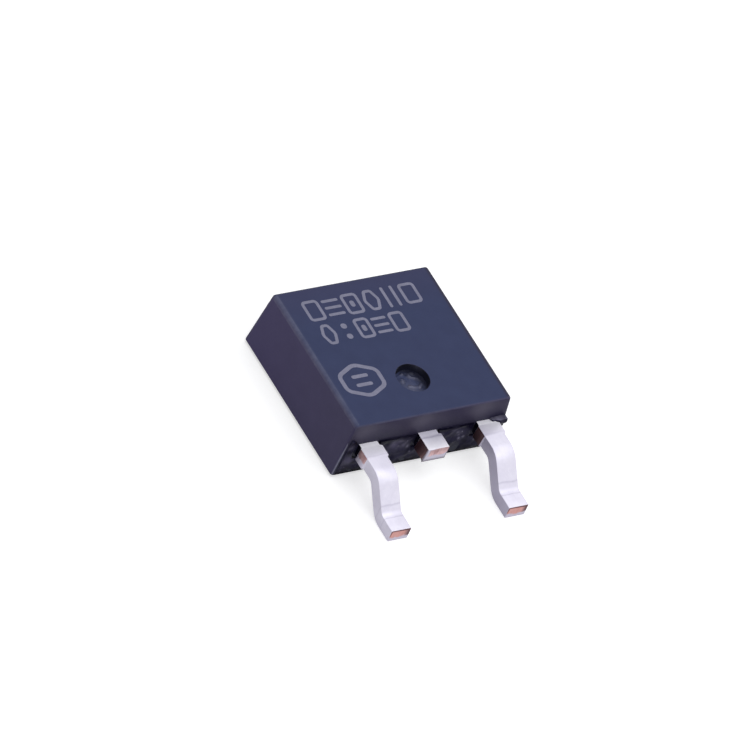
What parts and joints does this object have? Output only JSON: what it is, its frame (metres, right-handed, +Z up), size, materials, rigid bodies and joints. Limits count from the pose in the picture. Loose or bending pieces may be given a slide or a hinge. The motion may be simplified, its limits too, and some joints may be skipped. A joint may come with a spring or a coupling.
{
  "type": "surface-mount voltage regulator",
  "caption": "Moulded surface-mount voltage regulator: black drafted body, tinned heat tab under it, gull-wing input and output leads and a short ground stub between them.",
  "frame": {"origin": "On the board plane, midway across the width and midway along the whole length from the toes of the leads to the rear edge of the tab", "axes": "+Z up off the board, the tab points to +Y, the leads point to -Y, the output lead is on the +X side and the input lead on the -X side"},
  "size_m": [0.0066, 0.01, 0.0023],
  "materials": {
    "mould_compound": "filled black epoxy moulding compound with a fine matte grain",
    "tinned_copper": "matte tin plate over copper, bare copper where it was sheared after plating",
    "silicon": "smooth dark grey silicon",
    "solder": "dull grey solder",
    "bond_aluminium": "drawn bright aluminium wire"
  },
  "bodies": {
    "root": {"mould_body": "mould_compound", "tab_frame": "tinned_copper", "input_lead": "tinned_copper", "output_lead": "tinned_copper", "regulator_die": "silicon", "die_solder": "solder", "input_wire": "bond_aluminium", "output_wire": "bond_aluminium", "ground_wire": "bond_aluminium"}
  },
  "joints": []
}
